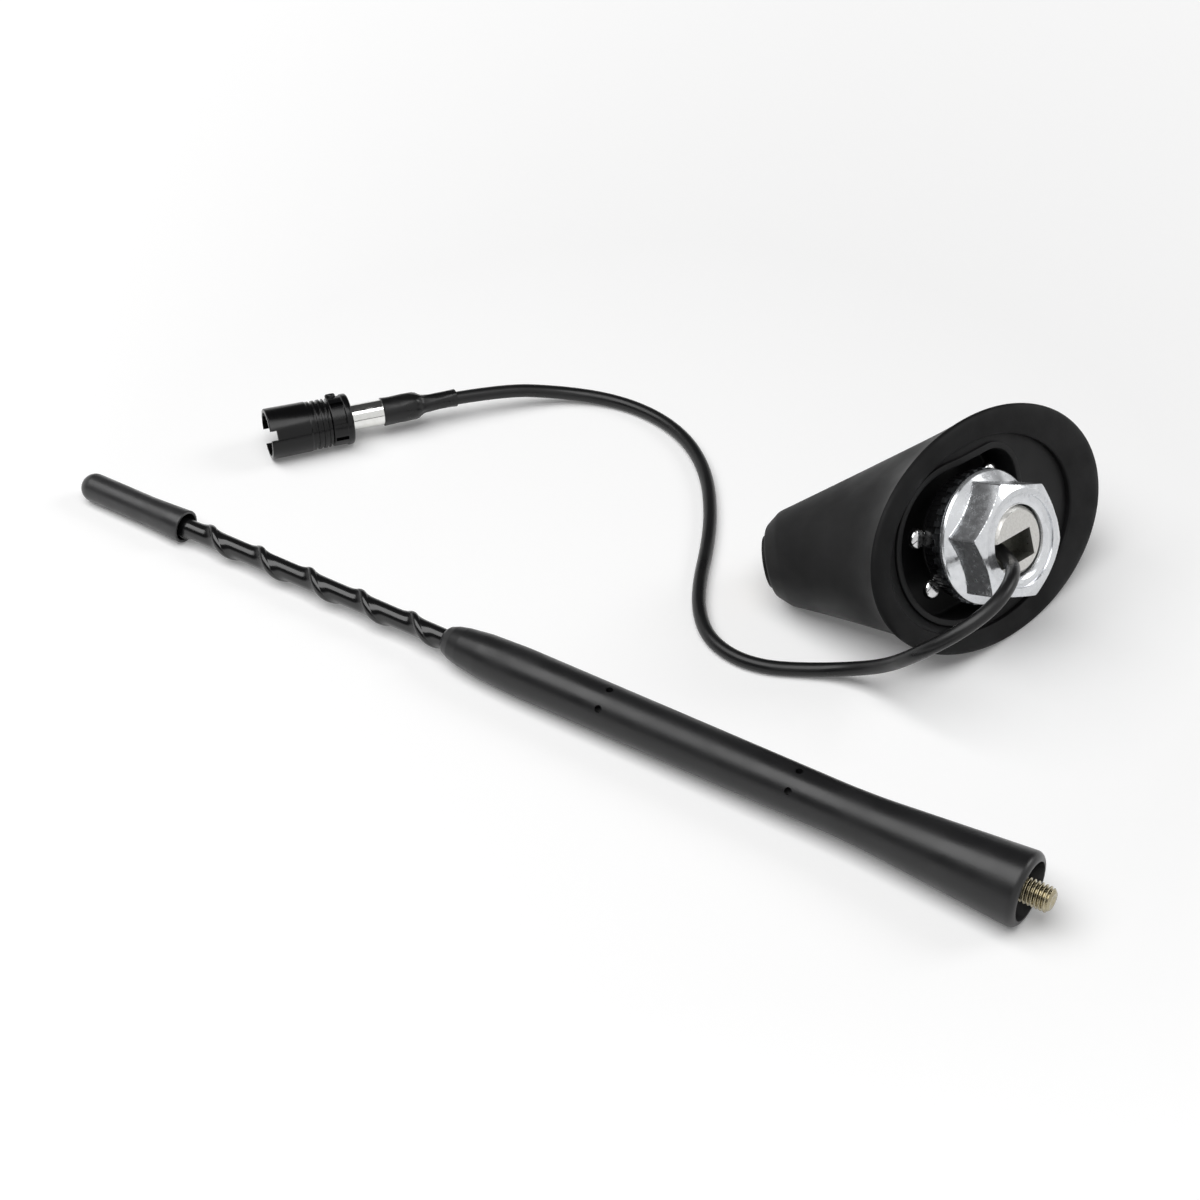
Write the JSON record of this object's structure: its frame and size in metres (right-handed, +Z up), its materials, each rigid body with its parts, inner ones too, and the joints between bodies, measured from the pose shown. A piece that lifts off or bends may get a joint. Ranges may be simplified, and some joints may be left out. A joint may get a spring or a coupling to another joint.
{
  "type": "car roof antenna",
  "caption": "Screw-on car roof antenna taken apart: a ribbed whip mast with flared grip, and an oval leaning base with flange nut, coaxial lead and push-on plug.",
  "frame": {"origin": "on the floor, under the middle of the box around the mast and the base", "axes": "+X along the mast towards its threaded end, +Y across the floor from the mast to the base, +Z up"},
  "size_m": [0.2281, 0.1122, 0.0433],
  "materials": {
    "tip_rubber": "matt soft black",
    "whip_black": "glossy black sleeve over the whip",
    "grip_black": "matt soft black",
    "stud_plated": "yellowish plated steel",
    "cover_black": "fine matt black moulding",
    "seal_rubber": "matt black rubber",
    "die_cast": "sandy grey die casting",
    "socket_brass": "turned insert",
    "bright_plate": "bright plated spring steel",
    "collar_black": "black moulding",
    "tooth_steel": "dark phosphated steel",
    "nut_zinc": "bright zinc plate",
    "shell_gloss": "glossy black moulding",
    "insulator_white": "dark insulator",
    "contact_brass": "turned contact",
    "ferrule_tin": "tinned crimp sleeve",
    "shrink_black": "satin heat-shrink sleeve",
    "cable_jacket": "satin black jacket"
  },
  "bodies": {
    "antenna": {"mast_tip": "tip_rubber", "mast_whip": "whip_black", "mast_grip": "grip_black", "mast_stud": "stud_plated", "base_cover": "cover_black", "roof_seal": "seal_rubber", "base_core": "die_cast", "mast_socket": "socket_brass", "plug_shell": "shell_gloss", "plug_insulator": "insulator_white", "plug_contact": "contact_brass", "crimp_ferrule": "ferrule_tin", "heat_shrink": "shrink_black", "coax_cable": "cable_jacket"},
    "washers": {"claw_washer": "bright_plate", "spacer_collar": "collar_black", "toothed_washer": "tooth_steel"},
    "nut": {"mounting_nut": "nut_zinc"}
  },
  "joints": [
    {"name": "washer_slide", "type": "slide", "parent": "antenna", "child": "washers", "axis": [0.8917, -0.1782, 0.416], "range_m": [-0.003, 0]},
    {"name": "nut_turn", "type": "hinge", "parent": "washers", "child": "nut", "pos_m": [0.06331, 0.01859, 0.02224], "axis": [0.8917, -0.1782, 0.416], "range_deg": [-720, 0]}
  ],
  "couplings": [
    {"joint": "nut_turn", "follows": "washer_slide", "rad_per_m": 4188.8}
  ]
}
